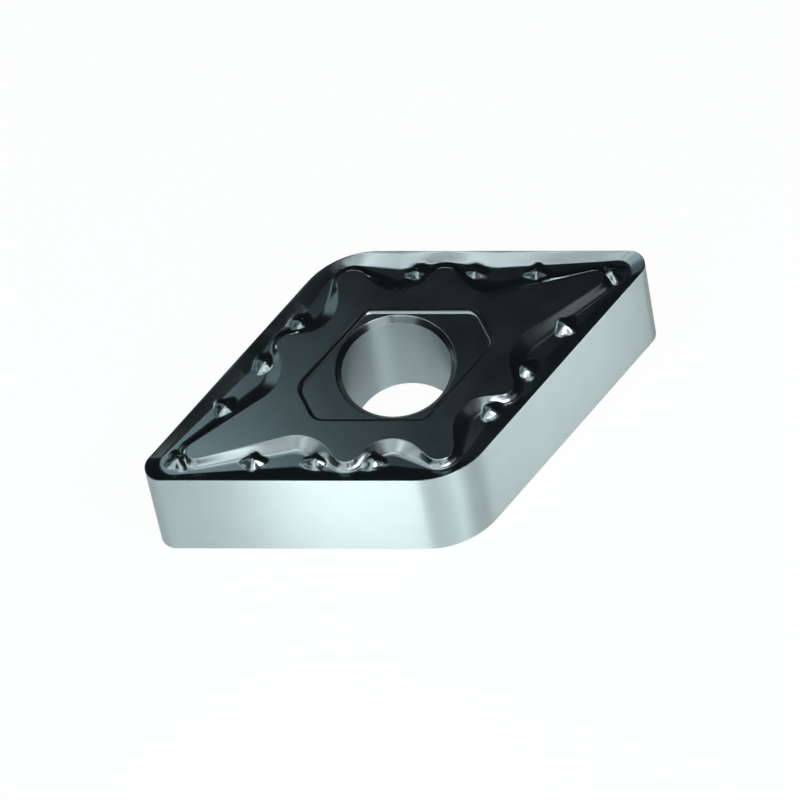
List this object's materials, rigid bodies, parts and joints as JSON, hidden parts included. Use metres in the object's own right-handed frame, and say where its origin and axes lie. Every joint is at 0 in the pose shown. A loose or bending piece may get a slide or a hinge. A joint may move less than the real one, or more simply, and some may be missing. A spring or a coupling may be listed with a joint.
{
  "type": "carbide insert",
  "caption": "Double-sided 55 degree rhombic turning insert with a screw bore, a wavy pressed chip breaker with lobed bumps, and rounded corners.",
  "frame": {"origin": "on the bore's axis, in the plane of the lower seating face", "axes": "+Z along the bore, towards the upper seating face; +X along the front cutting edge, from a cutting corner to a blunt corner"},
  "size_m": [0.023, 0.0126, 0.0063],
  "materials": {
    "carbide": "cemented carbide: gloss black coat on the pressed faces, satin grey on the flanks and in the bore"
  },
  "bodies": {
    "root": {"insert": "carbide"}
  },
  "joints": []
}
